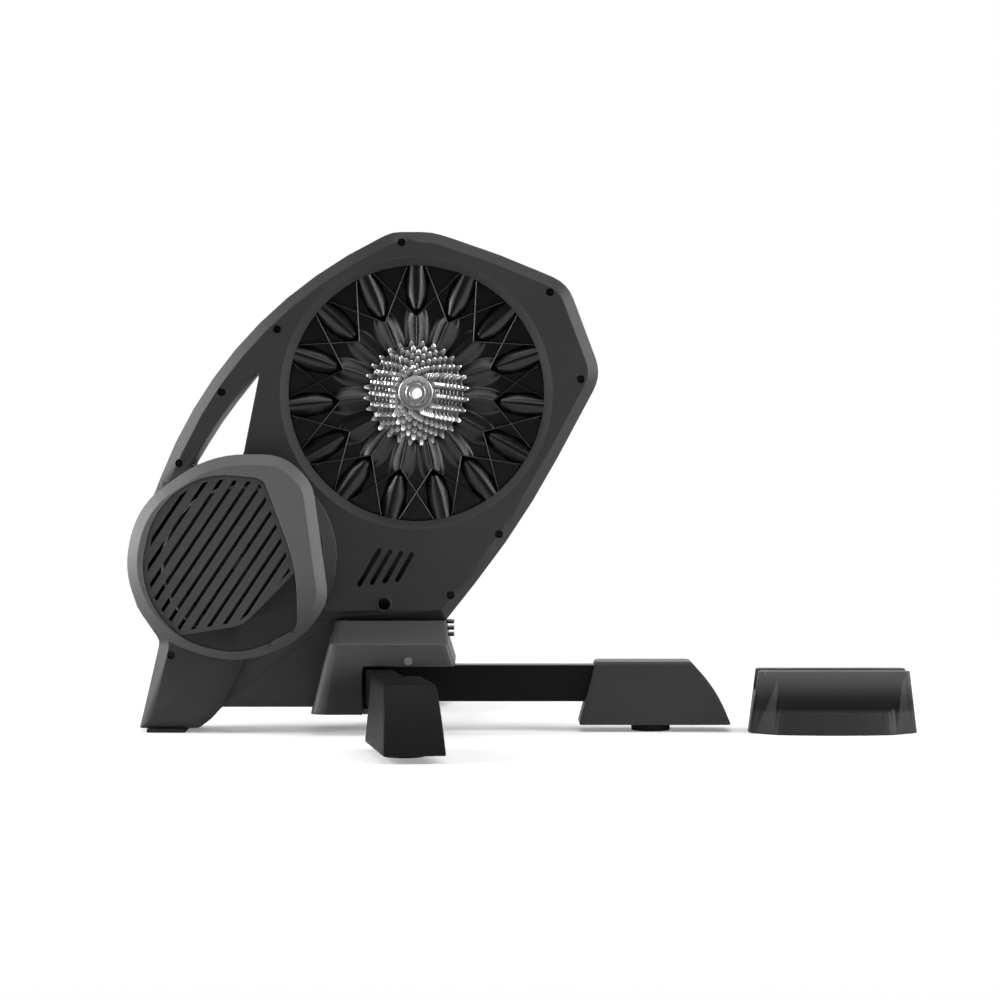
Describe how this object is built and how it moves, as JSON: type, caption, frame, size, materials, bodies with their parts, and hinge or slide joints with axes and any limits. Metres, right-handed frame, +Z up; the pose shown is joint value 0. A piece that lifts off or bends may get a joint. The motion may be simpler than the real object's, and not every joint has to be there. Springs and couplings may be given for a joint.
{
  "type": "direct drive bike trainer",
  "caption": "Direct drive bike trainer with cassette, ribbed belt pulley, flywheel behind a slotted cover, folding side legs and a loose front wheel riser block.",
  "frame": {"origin": "on the floor, under the middle of the whole object's box", "axes": "+X forward along the bike, towards the riser block; +Y away from the drive side; +Z up"},
  "size_m": [0.8892, 0.8346, 0.5663],
  "materials": {
    "casing_plastic": "fine textured moulded plastic, dark grey",
    "cover_plastic": "fine textured moulded plastic, mid grey",
    "grille_plastic": "satin moulded plastic, dark grey",
    "panel_plastic": "smooth near black panel",
    "pulley_plastic": "satin black moulded plastic",
    "leg_cap_plastic": "fine textured moulded plastic, dark grey",
    "black_paint": "black powder coat",
    "cassette_steel": "bright plated steel",
    "bright_steel": "machined steel",
    "dark_steel": "blackened steel",
    "bare_aluminium": "machined aluminium",
    "rubber": "black rubber",
    "coil_copper": "varnished copper winding",
    "board": "green circuit board",
    "riser_plastic": "satin black moulded plastic"
  },
  "bodies": {
    "trainer": {"drive_side_casing": "casing_plastic", "far_side_casing": "casing_plastic", "base_cover_near": "casing_plastic", "base_cover_far": "casing_plastic", "flywheel_cover": "cover_plastic", "flywheel_grille": "grille_plastic", "grille_panel": "panel_plastic", "front_leg_cap": "leg_cap_plastic", "front_leg_beam": "black_paint", "hub_axle": "bright_steel", "flywheel_bearing_near": "bright_steel", "flywheel_bearing_far": "bright_steel", "base_bolt": "bright_steel", "near_pivot_bolt": "bright_steel", "far_pivot_bolt": "bright_steel", "main_frame": "dark_steel", "near_end_cap": "dark_steel", "far_end_cap": "dark_steel", "idler_arm": "dark_steel", "brake_yoke": "dark_steel", "base_plate_upper": "dark_steel", "base_plate_lower": "dark_steel", "heat_sink": "bare_aluminium", "drive_belt": "rubber", "power_inlet": "rubber", "rear_pad": "rubber", "brake_coil_1": "coil_copper", "brake_coil_2": "coil_copper", "brake_coil_3": "coil_copper", "brake_coil_4": "coil_copper", "circuit_board": "board"},
    "flywheel_rotor": {"flywheel": "bright_steel", "flywheel_axle": "dark_steel", "flywheel_pulley": "bare_aluminium"},
    "pulley": {"drive_pulley": "pulley_plastic", "pulley_bearing_near": "bright_steel", "pulley_bearing_far": "bright_steel"},
    "cassette": {"freehub_body": "bare_aluminium", "freehub_bearing": "bright_steel", "sprocket_28": "cassette_steel", "sprocket_25": "cassette_steel", "sprocket_23": "cassette_steel", "sprocket_21": "cassette_steel", "sprocket_19": "cassette_steel", "sprocket_17": "cassette_steel", "sprocket_15": "cassette_steel", "sprocket_14": "cassette_steel", "sprocket_13": "cassette_steel", "sprocket_12": "cassette_steel", "sprocket_11": "cassette_steel", "lockring": "cassette_steel"},
    "idler": {"idler_pulley": "bright_steel"},
    "near_leg": {"near_leg_beam": "black_paint", "near_leg_cap": "leg_cap_plastic"},
    "far_leg": {"far_leg_beam": "black_paint", "far_leg_cap": "leg_cap_plastic"},
    "near_leg_foot": {"near_foot": "rubber"},
    "far_leg_foot": {"far_foot": "rubber"},
    "front_leg_foot": {"front_foot": "rubber"},
    "riser": {"riser_block": "riser_plastic"}
  },
  "joints": [
    {"name": "flywheel_spin", "type": "hinge", "parent": "trainer", "child": "flywheel_rotor", "pos_m": [-0.3198, 0, 0.19221], "axis": [0, 1, 0], "continuous": true},
    {"name": "pulley_spin", "type": "hinge", "parent": "trainer", "child": "pulley", "pos_m": [-0.12192, 0, 0.38386], "axis": [0, 1, 0], "continuous": true},
    {"name": "cassette_spin", "type": "hinge", "parent": "pulley", "child": "cassette", "pos_m": [-0.12192, 0, 0.38386], "axis": [0, 1, 0], "continuous": true},
    {"name": "idler_spin", "type": "hinge", "parent": "trainer", "child": "idler", "pos_m": [-0.23161, 0, 0.18209], "axis": [0, 1, 0], "continuous": true},
    {"name": "near_leg_swing", "type": "hinge", "parent": "trainer", "child": "near_leg", "pos_m": [-0.16492, -0.07175, 0], "axis": [0, 0, 1], "range_deg": [0, 82]},
    {"name": "far_leg_swing", "type": "hinge", "parent": "trainer", "child": "far_leg", "pos_m": [-0.16492, 0.07175, 0], "axis": [0, 0, 1], "range_deg": [-82, 0]},
    {"name": "near_foot_slide", "type": "slide", "parent": "near_leg", "child": "near_leg_foot", "axis": [0, 0, 1], "range_m": [-0.008, 0]},
    {"name": "far_foot_slide", "type": "slide", "parent": "far_leg", "child": "far_leg_foot", "axis": [0, 0, 1], "range_m": [-0.008, 0]},
    {"name": "front_foot_slide", "type": "slide", "parent": "trainer", "child": "front_leg_foot", "axis": [0, 0, 1], "range_m": [-0.008, 0]},
    {"name": "riser_lift", "type": "slide", "parent": "trainer", "child": "riser", "axis": [0, 0, 1], "range_m": [0, 0.15]}
  ],
  "couplings": [
    {"joint": "pulley_spin", "follows": "flywheel_spin", "ratio": 0.10333},
    {"joint": "idler_spin", "follows": "flywheel_spin", "ratio": -1.1071}
  ]
}
